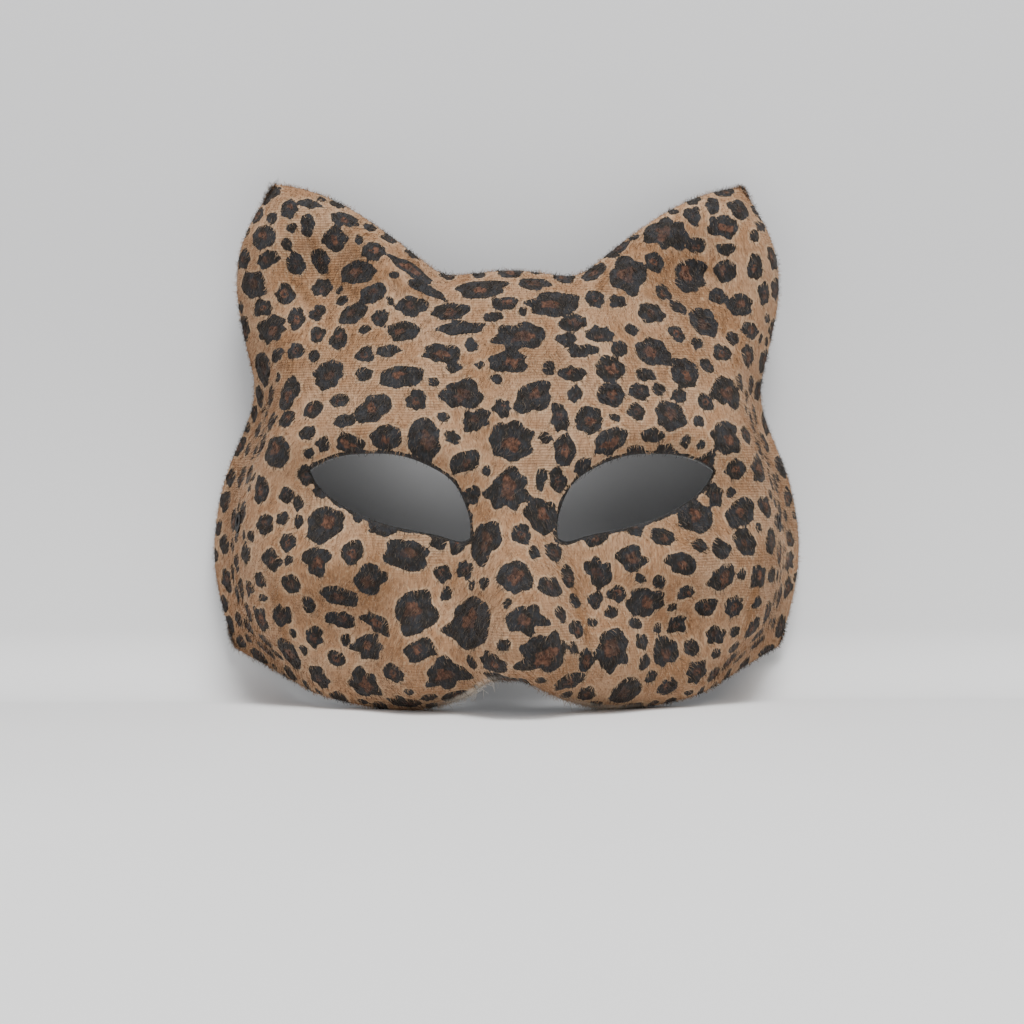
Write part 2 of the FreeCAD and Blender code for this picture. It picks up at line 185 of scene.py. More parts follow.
# Small spots: least and most half width, tries
FILL = [(3.1, 4.2, 900), (2.4, 3.3, 1600), (1.9, 2.6, 2500), (1.45, 2.0, 3500)]
HEART_FROM = 2.2  # a spot with at least this half width has a rust brown heart
NO_SPOT, NO_HEART = 30.0, 9.0  # distances where there is none near
NOTCH_BELOW = -42.0  # the notch and the lower edge are below this height
RIB_PITCH = 0.78  # fine ribs across the cloth

# Pile, in millimetres and degrees
PILE_FIBRES = 48000
PILE_PIECES = 3
PILE_LENGTH = (0.9, 2.1)
PILE_LIFT = (8.0, 26.0)
BRUSHED_LIFT = 22.0
PILE_WIDTH = 0.085
EDGE_FIBRES_PER_MM = 19
EDGE_LENGTH = (0.4, 1.7)
EDGE_WIDTH = 0.045
# Tufts: across, up, length
TUFTS = [(-79, 96, 3.3), (79, 96, 2.8), (72, 95, 2.4), (-89, -44, 2.8), (88, -44, 1.8)]
TUFT_FIBRES = 320
THREADS = 52
THREAD_STEPS = 9
THREAD_WIDTH = 0.085


def rng(offset):
    return np.random.default_rng(SEED + offset)


# ---------------------------------------------------------------- reading the frame

def tree_of(node):
    return BVHTree.FromObject(NODES[node], bpy.context.evaluated_depsgraph_get())


def met(tree, x, z, side=-1):
    """Depth along Y of the first surface met from the front, or from behind, or None."""
    place = tree.ray_cast(Vector((x * MM, side * RAY_FROM * MM, z * MM)), Vector((0, -side, 0)))[0]
    return None if place is None else place.y / MM


def edge_of(tree, centre, count, outer):
    """Points where the cover ends, seen from the front, along rays from centre."""
    points = []
    for angle in np.linspace(0, 2 * math.pi, count, endpoint=False):
        dx, dz = math.cos(angle), math.sin(angle)

        def covered(reach):
            return met(tree, centre[0] + reach * dx, centre[1] + reach * dz) is not None

        near, step = (150.0, -2.0) if outer else (0.0, 1.0)
        while not covered(near):
            near += step
        far = near - step
        for _ in range(14):
            middle = (near + far) / 2
            if covered(middle):
                near = middle
            else:
                far = middle
        points.append((centre[0] + near * dx, centre[1] + near * dz))
    return np.array(points)


def evenly(loop, pitch):
    """The closed loop's points again, at an even pitch."""
    closed = np.vstack([loop, loop[:1]])
    run = np.concatenate([[0], np.cumsum(np.linalg.norm(np.diff(closed, axis=0), axis=1))])
    at = np.linspace(0, run[-1], int(run[-1] / pitch), endpoint=False)
    return np.column_stack([np.interp(at, run, closed[:, k]) for k in range(closed.shape[1])])


def into_cloth(loop, outer):
    """Unit vectors, seen from the front, from each point of the loop into the covered side."""
    along = np.roll(loop, -2, axis=0) - np.roll(loop, 2, axis=0)
    along /= np.linalg.norm(along, axis=1)[:, None]
    left = np.column_stack([-along[:, 1], along[:, 0]])
    return left if outer else -left


# ---------------------------------------------------------------- the cover's points

class Thinned:
    """Points kept only where no kept point is nearer than a least spacing."""

    def __init__(self, spacing):
        self.spacing, self.cells, self.points = spacing, {}, []

    def add(self, point, forced=False):
        cell = tuple(int(math.floor(c / self.spacing)) for c in point)
        if not forced:
            for i in (-1, 0, 1):
                for j in (-1, 0, 1):
                    for k in (-1, 0, 1):
                        for other in self.cells.get((cell[0] + i, cell[1] + j, cell[2] + k), ()):
                            if math.dist(point, other) < self.spacing:
                                return
        self.cells.setdefault(cell, []).append(point)
        self.points.append(point)


def ring_points(tree, loop, outer, reach):
    """Points on lines running in from the rim, evenly spaced over the surface."""
    points = []
    for index, (start, inward) in enumerate(zip(loop, into_cloth(loop, outer))):
        run, due, last = 0.0, PITCH * (0.5 if index % 2 else 1.0), None
        for inset in np.arange(RIM_STEP, reach, RIM_STEP):
            x, z = start + inset * inward
            depth = met(tree, x, z)
            if depth is None:
                break
            if last is not None:
                run += math.hypot(RIM_STEP, depth - last)
            last = depth
            if run >= due:
                points.append((x, depth, z))
                due += PITCH
    return points


def row_points(tree):
    """Points in rows over the whole face, evenly spaced over the surface along each row."""
    low, high = (np.array(corner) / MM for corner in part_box("leopard_cover"))
    points = []
    for row, z in enumerate(np.arange(low[2], high[2], PITCH * 0.9)):
        run, due, last = 0.0, PITCH * (0.5 if row % 2 else 0.0), None
        for x in np.arange(low[0], high[0], ROW_STEP):
            depth = met(tree, x, z)
            if depth is not None and last is not None:
                run += math.hypot(ROW_STEP, depth - last)
                if run >= due:
                    points.append((x, depth, z))
                    due += PITCH
            last = depth
    return points


def hole_loop(side):
    """The round hole for an eyelet, seen from the front."""
    axis = Vector(EYELET_AXIS)
    axis.x *= side
    across = axis.cross(Vector((0, 0, 1))).normalized()
    up = axis.cross(across)
    centre = Vector((side * EYELET_CENTRE[0], 0, EYELET_CENTRE[1]))
    points = [centre + EYELET_HOLE_R * (math.cos(a) * across + math.sin(a) * up)
              for a in np.linspace(0, 2 * math.pi, EYELET_POINTS, endpoint=False)]
    loop = np.array([(p.x, p.z) for p in points])
    area = np.sum(loop[:, 0] * np.roll(loop[:, 1], -1) - loop[:, 1] * np.roll(loop[:, 0], -1))
    return loop if area > 0 else loop[::-1]


def in_loop(x, z, loop):
    """True for each place inside the closed loop."""
    inside = np.zeros(len(x), bool)
    for (x1, z1), (x2, z2) in zip(loop, np.roll(loop, -1, axis=0)):
        if z1 != z2:
            inside ^= ((z1 > z) != (z2 > z)) & (x < x1 + (z - z1) * (x2 - x1) / (z2 - z1))
    return inside


def grown(loop, by):
    """The loop scaled about its middle."""
    middle = loop.mean(axis=0)
    return middle + (loop - middle) * by


def rim_depth(cover, loop):
    """Depth of the cover's rear edge along its outline, read from behind and evened out."""
    rows = []
    for inset in (0.35, 0.5, 0.65):
        hits = [met(cover, x, z, side=1) for x, z in loop + inset * into_cloth(loop, True)]
        rows.append([np.nan if hit is None else hit for hit in hits])
    depth = np.nanmedian(rows, axis=0)
    known = np.flatnonzero(~np.isnan(depth))
    depth = np.interp(np.arange(len(loop)), known, depth[known], period=len(loop))
    return np.mean([np.roll(depth, shift) for shift in range(-2, 3)], axis=0)


def cover_net(cover, loops, rim):
    """Points of the cover's face, the triangles that join them, and how many are on its edges."""
    kept = Thinned(PITCH * LEAST_GAP)
    for (x, z), depth in zip(loops[0], rim):
        kept.add((x, depth - RIM_THICKNESS, z), forced=True)
    for number, loop in enumerate(loops[1:], 1):
        for start, inward in zip(loop, into_cloth(loop, False)):
            inset = 0.0 if number < 3 else SEAT_INSET
            while (depth := met(cover, *(start + inset * inward))) is None:
                inset += INSET_STEP
            kept.add((start[0], depth, start[1]), forced=True)
    edge_count = len(kept.points)
    candidates = ring_points(cover, loops[0], True, RING_REACH)
    for loop in loops[1:3]:
        candidates += ring_points(cover, loop, False, EYE_REACH)
    candidates += row_points(cover)
    spots = np.array(candidates)
    barred = np.zeros(len(spots), bool)
    for loop in loops[3:]:
        barred |= in_loop(spots[:, 0], spots[:, 2], grown(loop, EYELET_CLEAR))
    for point in spots[~barred]:
        kept.add(tuple(point))
    points = np.array(kept.points)

    edges, start = [], 0
    for loop in loops:
        edges += [(start + i, start + (i + 1) % len(loop)) for i in range(len(loop))]
        start += len(loop)
    flat = [Vector((p[0], p[2])) for p in points]
    _, _, faces, origin, _, _ = geometry.delaunay_2d_cdt(flat, edges, [], 0, 1e-5)
    tris = np.array([[origin[v][0] for v in face] for face in faces if len(face) == 3 and
                     all(origin[v] for v in face)])
    middle = points[tris].mean(axis=1)
    keep = in_loop(middle[:, 0], middle[:, 2], loops[0])
    for loop in loops[1:]:
        keep &= ~in_loop(middle[:, 0], middle[:, 2], loop)
    return points, tris[keep], edge_count


# ---------------------------------------------------------------- meshes

def new_object(name, verts, faces, attributes=None, smooth=True):
    """A mesh object from vertices in millimetres, with a value of each attribute at each vertex."""
    mesh = bpy.data.meshes.new(name)
    faces = faces.tolist() if isinstance(faces, np.ndarray) else faces
    mesh.from_pydata((np.asarray(verts) * MM).tolist(), [], faces)
    mesh.update()
    if smooth:
        mesh.shade_smooth()
    for key, values in (attributes or {}).items():
        data = mesh.attributes.new(key, "FLOAT", "POINT").data
        data.foreach_set("value", np.asarray(values, np.float32))
    obj = bpy.data.objects.new(name, mesh)
    bpy.context.scene.collection.objects.link(obj)
    return obj


def crosses(points, tris):
    """Each triangle's normal, twice its area long."""
    a, b, c = (points[tris[:, k]] for k in range(3))
    return np.cross(b - a, c - a)


def area_shares(points, tris):
    area = np.linalg.norm(crosses(points, tris), axis=1)
    return area / area.sum()


def vertex_normals(points, tris):
    face = crosses(points, tris)
    total = np.zeros_like(points)
    for k in range(3):
        np.add.at(total, tris[:, k], face)
    return total / np.maximum(np.linalg.norm(total, axis=1), 1e-12)[:, None]


def soft_noise(points, size, offset):
    """Smooth noise about zero with lumps of the given size."""
    return np.array([noise.noise(Vector(p) / size + Vector((offset, 0, 0))) for p in points])


def fold_height(points):
    """Height of the small folds at each point."""
    flat = points[:, [0, 2]]
    height = np.zeros(len(points))
    for start, end, high, half_width in FOLDS:
        start, end = np.array(start, float), np.array(end, float)
        along = (flat - start) @ (end - start) / np.sum((end - start) ** 2)
        bow = 1.2 * np.sin(np.clip(along, 0, 1) * math.pi)
        normal = np.array([-(end - start)[1], (end - start)[0]]) / np.linalg.norm(end - start)
        off = (flat - start) @ normal - bow
        ends = np.clip(along, 0, 1) * np.clip(1 - along, 0, 1) * 4
        height += high * ends * np.exp(-(off / half_width) ** 2)
    return height


def brushed_up_and_shade(points):
    """Where the pile stands up and looks darker, with painted shade in the ear cups and on the
    shaded side of each fold: in the ears and in some patches, from 0 to 1.
    """
    share = 0.55 * np.clip(soft_noise(points, 17.0, 21) * 2.2, 0, 1)
    for x, z, wide, high, most in BRUSHED_AND_SHADED:
        across, up = (points[:, 0] - x) / wide, (points[:, 2] - z) / high
        share += most * np.exp(-across ** 2 - up ** 2)
    beside = points + np.array([0.9, 0.0, -0.5])  # the shaded side of each fold
    # painted shade: the colour darkens along the shaded side of each fold
    return np.clip(share + 1.8 * fold_height(beside), 0, 1)


# ---------------------------------------------------------------- the print

class Spot:
    """One printed spot: an ellipse with a ragged edge on the cloth."""

    def __init__(self, centre, across, up, half, tilt, random, heart):
        self.centre, self.across, self.up = centre, across, up
        self.half, self.tilt = half, math.radians(tilt)
        turn = 2 * math.pi
        ragged = 0.05 + 0.025 * random.random()
        self.waves = [(k, ragged * random.normal() / (1 + 0.12 * (k - 2)), random.uniform(0, turn))
                      for k in range(2, 9)]
        self.bite = None
        if random.random() < 0.3:
            self.bite = (random.uniform(0, turn), random.uniform(0.25, 0.5))
        self.heart = None
        if heart:
            share = random.uniform(0.3, 0.44)
            self.heart = (random.uniform(-0.18, 0.18) * half[0],
                          random.uniform(-0.2, 0.2) * half[1],
                          share * half[0] * random.uniform(0.8, 1.15),
                          share * half[1] * random.uniform(0.85, 1.25),
                          [(k, 0.14 * random.normal(), random.uniform(0, turn))
                           for k in (2, 3, 4, 5)])

    def local(self, points):
        """Places along the spot's two axes."""
        offset = points - self.centre
        u, v = offset @ self.across, offset @ self.up
        c, s = math.cos(self.tilt), math.sin(self.tilt)
        return c * u + s * v, c * v - s * u

    def distance(self, points):
        """Distance outside the spot's edge, negative inside."""
        u, v = self.local(points)
        angle = np.arctan2(v / self.half[1], u / self.half[0])
        radius = np.ones(len(points))
        for k, high, phase in self.waves:
            radius += high * np.cos(k * angle + phase)
        if self.bite:
            gap = np.abs((angle - self.bite[0] + math.pi) % (2 * math.pi) - math.pi)
            radius -= 0.3 * np.exp(-(gap / self.bite[1]) ** 2)
        reach = np.hypot(u, v)
        rho = np.hypot(u / self.half[0], v / self.half[1])
        return reach * (1 - radius / np.maximum(rho, 0.05))

    def heart_distance(self, points):
        """Distance outside the heart's edge, negative inside."""
        if self.heart is None:
            return np.full(len(points), NO_HEART)
        x, z, a, b, waves = self.heart
        u, v = self.local(points)
        u, v = u - x, v - z
        angle = np.arctan2(v / b, u / a)
        radius = 1 + sum(high * np.cos(k * angle + phase) for k, high, phase in waves)
        rho = np.hypot(u / a, v / b)
        return np.hypot(u, v) * (1 - radius / np.maximum(rho, 0.05))


def on_cloth(place, normal):
    """Unit vectors across and up the cloth at a place."""
    across = np.array([1.0, 0.0, 0.0]) - normal[0] * normal
    across /= np.linalg.norm(across)
    up = np.cross(across, normal)
    return across, up if up[2] > 0 else -up


def reach_towards(one, other):
    """Half width of a spot's ellipse in the direction of another spot."""
    offset = other[0] - one[0]
    u, v = offset @ one[1], offset @ one[2]
    turn = math.atan2(v, u) - math.radians(one[4])
    return 1 / math.hypot(math.cos(turn) / one[3][0], math.sin(turn) / one[3][1])


def kept_apart(spots):
    """How much each spot is shrunk so that it doesn't run into its neighbours."""
    shares = np.ones(len(spots))
    for i, one in enumerate(spots):
        for j, other in enumerate(spots[:i]):
            apart = float(np.linalg.norm(other[0] - one[0]))
            if apart < 16:
                reach = reach_towards(one, other) + reach_towards(other, one)
                room = (apart - BIG_GAP) / reach
                shares[i], shares[j] = min(shares[i], room), min(shares[j], room)
    return np.clip(shares, LEAST_SHARE, 1.0)


def printed(points, normals, tris):
    """Distance from the nearest spot's edge and from its heart, for each point of the cloth."""
    random = rng(1)
    spot, heart = np.full(len(points), NO_SPOT), np.full(len(points), NO_HEART)

    def lay(new):
        away = np.linalg.norm(points - new.centre, axis=1)
        where = np.flatnonzero(away < max(new.half) * 1.6 + 9)
        spot[where] = np.minimum(spot[where], new.distance(points[where]))
        heart[where] = np.minimum(heart[where], new.heart_distance(points[where]))

    big = []
    for x, z, width, height, *tilt in BIG_SPOTS:
        index = np.argmin((points[:, 0] - x) ** 2 + (points[:, 2] - z) ** 2)
        across, up = on_cloth(points[index], normals[index])
        half = (0.5 * width / max(abs(across[0]), 0.6), 0.5 * height / max(abs(up[2]), 0.6))
        big.append([points[index], across, up, half, tilt[0] if tilt else 0])
    for one, share in zip(big, kept_apart(big)):
        half = (one[3][0] * share, one[3][1] * share)
        lay(Spot(one[0], one[1], one[2], half, one[4], random, min(half) >= HEART_FROM))

    shares = area_shares(points, tris)
    for least, most, tries in FILL:
        picks = random.choice(len(tris), tries, p=shares)
        for index in tris[picks, 0]:
            free = spot[index] - GAP * random.uniform(0.8, 1.3)
            if free < least:
                continue
            size = min(free, random.uniform(least, most))
            slim = random.uniform(0.72, 1.0)
            half = (size * slim, size) if random.random() < 0.5 else (size, size * slim)
            across, up = on_cloth(points[index], normals[index])
            lay(Spot(points[index], across, up, half, random.uniform(-40, 40), random,
                     size > HEART_FROM and random.random() < 0.8))
    return spot, heart


# ---------------------------------------------------------------- building the cover

def back_of(shell, points, face, rim):
    """The cover's back: on the shell where there is one behind, else a cloth's thickness back."""
    depths = np.array([met(shell, x, z) for x, _, z in points], float)
    thin = points[:, 1] + CLOTH_THICKNESS
    missed = np.isnan(depths) | (depths - points[:, 1] > MOST_THICKNESS) | (depths < thin)
    depths = np.where(missed, thin, depths) - COVER_OFF_SHELL
    depths[:len(rim)] = rim + COVER_OFF_SHELL
    back = np.column_stack([points[:, 0], depths, points[:, 2]])
    back[:, 1] = np.maximum(back[:, 1], face[:, 1] + LEAST_THICKNESS)
    return back


def build_cover():
    """The printed sheet: a face, a back and a rounded cut edge along every loop."""
    cover, shell = tree_of("leopard_cover"), tree_of("face_shell")
    loops = [evenly(edge_of(cover, FACE_CENTRE, OUTLINE_RAYS, True), OUTLINE_PITCH)]
    loops += [evenly(edge_of(cover, centre, EYE_RAYS, False), EYE_PITCH) for centre in EYE_CENTRES]
    loops += [hole_loop(-1), hole_loop(1)]
    rim = rim_depth(cover, loops[0])
    points, tris, edge_count = cover_net(cover, loops, rim)
    normals = vertex_normals(points, tris)
    spot, heart = printed(points, normals, tris)
    # a dark line along each eye opening's cut edge
    for loop in loops[1:3]:
        spot = np.minimum(spot, eye_edge_line(points, loop))

    face = points.copy()
    face[:, 1] -= fold_height(points)
    lumps = 0.06 * soft_noise(points, 3.0, 3) + 0.12 * soft_noise(points, 9.0, 7)
    face += normals * lumps[:, None]
    back = back_of(shell, points, face, rim)

    count = len(points)
    verts = [face, back]
    faces = [tris, tris[:, ::-1] + count]
    start, base = 0, 2 * count
    ragged = soft_noise(points[:edge_count], 1.3, 11)
    for number, loop in enumerate(loops):
        n = len(loop)
        here = np.arange(start, start + n)
        outward = -into_cloth(loop, number == 0)
        for share, proud in ((0.3, 0.13), (0.7, 0.1)):
            row = face[here] * (1 - share) + back[here] * share
            if number:
                proud *= 0.25
            row[:, [0, 2]] += outward * (proud + 0.08 * ragged[here])[:, None]
            verts.append(row)
        rows = [here, np.arange(base, base + n), np.arange(base + n, base + 2 * n), here + count]
        base += 2 * n
        for upper, lower in zip(rows, rows[1:]):
            turn = np.roll(np.arange(n), -1)
            quad = np.column_stack([upper, lower, lower[turn], upper[turn]])
            if number:
                quad = quad[:, ::-1]
            faces += [quad[:, [0, 1, 2]], quad[:, [0, 2, 3]]]
        start += n
    verts = np.vstack(verts)
    faces = np.vstack(faces)
    # how far the pile is brushed up, with painted shade in the ear cups and beside the folds
    rough = brushed_up_and_shade(points)
    spots = np.concatenate([spot, spot])
    hearts = np.concatenate([heart, heart])
    pale = frayed_near(points, loops[0])
    bare = np.concatenate([pale, np.ones(count)])
    start = 0
    for number, loop in enumerate(loops):
        n = len(loop)
        for dull in (0.35, 0.8):
            if number:
                dull = 0.0
            spots = np.concatenate([spots, np.full(n, -2.0) if number else spot[start:start + n]])
            hearts = np.concatenate([hearts, heart[start:start + n]])
            bare = np.concatenate([bare, np.maximum(dull, frayed(loop))])
        start += n
    roughs = np.concatenate([rough, np.zeros(len(verts) - count)])
    attributes = {"spot": spots, "heart": hearts, "bare": bare, "brushed_up_and_shade": roughs}
    net = {"points": face, "back": back, "normals": vertex_normals(face, tris), "tris": tris,
           "spot": spot, "heart": heart, "rough": rough, "pale": pale, "loops": loops}
    return new_object("fabric_cover", verts, faces, attributes), net


def frayed(flat):
    """Where the cut edge has frayed to its pale backing, along the two flanks of the notch."""
    left, right = (flat[:, 0] + 14) / 7, (flat[:, 0] - 27) / 9
    return (flat[:, 1] < NOTCH_BELOW) * (np.exp(-left ** 2) + np.exp(-right ** 2))


def distance_to(flat, loop):
    """Distance from each place to the nearest point of the loop, seen from the front."""
    return np.min(np.linalg.norm(flat[:, None] - loop[None], axis=2), axis=1)


def frayed_near(points, outline):
    """How far the pale backing shows at each point of the cloth, close to its frayed edge."""
    flat = points[:, [0, 2]]
    pale = np.zeros(len(points))
    low = np.flatnonzero(flat[:, 1] < NOTCH_BELOW)
    pale[low] = frayed(flat[low]) * np.clip(1.9 - distance_to(flat[low], outline) / 0.85, 0, 1)
    return pale


def eye_edge_line(points, loop):
    """Distance from the uneven dark line along an eye opening's cut edge."""
    flat = points[:, [0, 2]]
    line = np.full(len(points), NO_SPOT)
    near = np.flatnonzero(np.linalg.norm(flat - loop.mean(axis=0), axis=1) < 30)
    away = distance_to(flat[near], loop)
    line[near] = 1.6 * away - 0.75 - 0.9 * soft_noise(points[near], 3.5, 31)
    return line


def nap_direction(points, normals):
    """Which way the pile lies: mostly down the face, swirling a little."""
    swirl = 0.9 * soft_noise(points, 22.0, 5) + 0.5 * soft_noise(points, 6.0, 9)
    down = np.column_stack([np.sin(swirl), np.zeros(len(points)), -np.cos(swirl)])
    down -= normals * np.sum(down * normals, axis=1)[:, None]
    return down / np.linalg.norm(down, axis=1)[:, None]


def fibres(name, roots, lean, normals, lengths, width, prints, random):
    """Fine tapered fibres that bow a little, each a closed three sided spike of 7 vertices.

    prints holds each fibre's spot, heart, brushed-up pile with its painted shade, and bare values.
    """
    count = len(roots)
    side = np.cross(lean, normals)
    side /= np.maximum(np.linalg.norm(side, axis=1), 1e-9)[:, None]
    other = np.cross(lean, side)
    wide = width * random.uniform(0.7, 1.3, count)[:, None]
    bow = random.normal(size=(count, 3)) * lengths[:, None] * 0.16
    rows = []
    for share, thick in ((0.0, 1.0), (0.55, 0.7)):
        at = roots + lean * (share * lengths)[:, None] + bow * (share * (1 - share) * 4)
        low, across = at - side * wide * 0.5 * thick, other * wide * 0.8 * thick
        rows += [at + side * wide * thick, low + across, low - across]
    rows.append(roots + lean * lengths[:, None])
    verts = np.stack(rows, axis=1).reshape(-1, 3)
    corners = [(0, 2, 1)]
    for i, j in ((0, 1), (1, 2), (2, 0)):
        corners += [(i, j, j + 3), (i, j + 3, i + 3), (i + 3, j + 3, 6)]
    base = np.arange(count)[:, None] * 7
    faces = np.concatenate([base + np.array(f) for f in corners])
    keys = ("spot", "heart", "brushed_up_and_shade", "bare")
    each = {key: np.repeat(values, 7) for key, values in zip(keys, prints)}
    each["tint"] = np.repeat(random.random(count), 7)
    each["tip"] = np.tile([0, 0, 0, .5, .5, .5, 1], count)
    return new_object(name, verts, faces, each, smooth=False)


def build_pile(net):
    """The pile over the whole face, lying mostly down and standing up where it is brushed."""
    random = rng(2)
    points, tris = net["points"], net["tris"]
    chosen = random.choice(len(tris), PILE_FIBRES, p=area_shares(points, tris))
    share = random.dirichlet((1, 1, 1), PILE_FIBRES)
    corner = tris[chosen]

    def blended(values):
        return np.einsum("ij,ij...->i...", share, values[corner])

    roots, normals = blended(points), blended(net["normals"])
    normals /= np.linalg.norm(normals, axis=1)[:, None]
    lie = blended(nap_direction(points, net["normals"]))
    lie += 0.28 * random.normal(size=lie.shape)
    lie -= normals * np.sum(lie * normals, axis=1)[:, None]
    lie /= np.linalg.norm(lie, axis=1)[:, None]
    prints = [blended(net[key]) for key in ("spot", "heart", "rough", "pale")]
    lift = np.radians(random.uniform(*PILE_LIFT, PILE_FIBRES) + BRUSHED_LIFT * prints[2])[:, None]
    lean = lie * np.cos(lift) + normals * np.sin(lift)
    lengths = random.uniform(*PILE_LENGTH, PILE_FIBRES)
    roots_sunk = roots - normals * 0.05
    order = np.argsort(roots[:, 2])
    return [fibres("fabric_pile_%d" % number, roots_sunk[part], lean[part], normals[part],
                   lengths[part], PILE_WIDTH, [values[part] for values in prints], random)
            for number, part in enumerate(np.array_split(order, PILE_PIECES))]


def edge_growth(x, z):
    """How much longer the outline's fibres are at the ear tips, the notch and the ears' roots."""
    if z > 86:
        return 1.35
    if z < -38 and abs(x) < 30:
        return 1.5
    return 1.25 if 55 < z < 72 else 1.0


def build_fringe(net):
    """Short fibres standing out of the cut edges, with tufts at the ear tips and lower corners."""
    random = rng(3)
    points, backs = net["points"], net["back"]
    roots, leans, lengths, prints = [], [], [], []
    start = 0
    for number, loop in enumerate(net["loops"][:3]):
        n = len(loop)
        outward = -into_cloth(loop, number == 0)
        run = np.linalg.norm(np.roll(loop, -1, axis=0) - loop, axis=1)
        pale = frayed(loop)
        per = EDGE_FIBRES_PER_MM * (1.0 if number == 0 else 0.55)
        for i in range(n):
            k, m = start + i, start + (i + 1) % n
            growth = 0.5 if number else edge_growth(*loop[i])
            along = loop[(i + 1) % n] - loop[i]
            along = np.array([along[0], 0.0, along[1]]) / run[i]
            out = np.array([outward[i][0], 0.0, outward[i][1]])
            for _ in range(random.poisson(per * run[i])):
                f, depth = random.random(), random.uniform(0.0, 0.8)
                on_face = points[k] * (1 - f) + points[m] * f
                on_back = backs[k] * (1 - f) + backs[m] * f
                roots.append(on_face * (1 - depth) + on_back * depth)
                lean = out * random.uniform(0.25, 1.0)
                lean += np.array([0, -1.0, 0]) * random.uniform(-0.2, 1.0)
                lean += along * random.normal() * 0.8 + 0.25 * random.normal(size=3)
                leans.append(lean / np.linalg.norm(lean))
                spread = (EDGE_LENGTH[1] - EDGE_LENGTH[0]) * random.random() ** 2
                lengths.append((EDGE_LENGTH[0] + spread) * growth)
                prints.append((net["spot"][k], net["heart"][k], net["rough"][k],
                               min(1.0, pale[i] * random.uniform(0.9, 2.0))))
        start += n
    outline = net["loops"][0]
    for x, z, high in TUFTS:
        k = int(np.argmin(np.hypot(outline[:, 0] - x, outline[:, 1] - z)))
        sweep = random.normal(size=3) * 0.4
        for _ in range(TUFT_FIBRES):
            m = (k + int(round(random.normal() * 2.2))) % len(outline)
            depth = random.uniform(0.0, 0.9)
            roots.append(points[m] * (1 - depth) + backs[m] * depth)
            lean = np.array([math.copysign(0.3, x), -0.35, math.copysign(0.9, z)]) + sweep
            lean += 0.5 * random.normal(size=3)
            leans.append(lean / np.linalg.norm(lean))
            lengths.append(high * random.uniform(0.35, 1.0))
            prints.append((-1.5 if random.random() < 0.75 else 1.0, NO_HEART, 0.5, 0.0))
    facing = np.broadcast_to((0.01, -1.0, 0.01), (len(roots), 3))
    return fibres("edge_fringe", np.array(roots), np.array(leans), facing, np.array(lengths),
                  EDGE_WIDTH, np.array(prints).T, random)


def build_threads(net):
    """Pale backing threads that have frayed loose along the notch and the lower edge."""
    random = rng(4)
    loop = net["loops"][0]
    n = len(loop)
    outward = -into_cloth(loop, True)
    near = np.flatnonzero((loop[:, 1] < NOTCH_BELOW) & (np.abs(loop[:, 0] - 2) < 34))
    often = 0.15 + frayed(loop[near])
    verts, faces = [], []
    for i in random.choice(near, THREADS, p=often / often.sum()):
        place = net["points"][i] * 0.4 + net["back"][i] * 0.6
        heading = np.array([outward[i][0], -0.5, outward[i][1]]) + 0.5 * random.normal(size=3)
        along = loop[(i + 1) % n] - loop[i]
        along = np.array([along[0], 0, along[1]])
        heading += along * random.choice((-1, 1)) * random.uniform(0.5, 2.0)
        curl = 0.5 * random.normal(size=3)
        for step in range(THREAD_STEPS + 1):
            heading /= np.linalg.norm(heading)
            side = np.cross(heading, (0.3, 0.9, 0.3))
            side /= np.linalg.norm(side)
            other = np.cross(heading, side)
            thick = THREAD_WIDTH * (1 - 0.6 * step / THREAD_STEPS)
            ring = [place + thick * (math.cos(a) * side + math.sin(a) * other)
                    for a in np.linspace(0, 2 * math.pi, 5, endpoint=False)]
            base = len(verts)
            verts += ring
            if step:
                faces += [(base - 5 + k, base - 5 + (k + 1) % 5, base + (k + 1) % 5, base + k)
                          for k in range(5)]
            else:
                faces.append(tuple(base + k for k in reversed(range(5))))
            place = place + heading * random.uniform(0.3, 0.5)
            heading = heading + 0.35 * curl + 0.18 * random.normal(size=3)
        faces.append(tuple(len(verts) - 5 + k for k in range(5)))
    return new_object("loose_threads", verts, faces)


# ---------------------------------------------------------------- materials

def colour(r, g, b):
    """Linear colour from 0 to 255 display values."""
    def line(v):
        v /= 255
        return v / 12.92 if v <= 0.04045 else ((v + 0.055) / 1.055) ** 2.4
    return (line(r), line(g), line(b), 1.0)


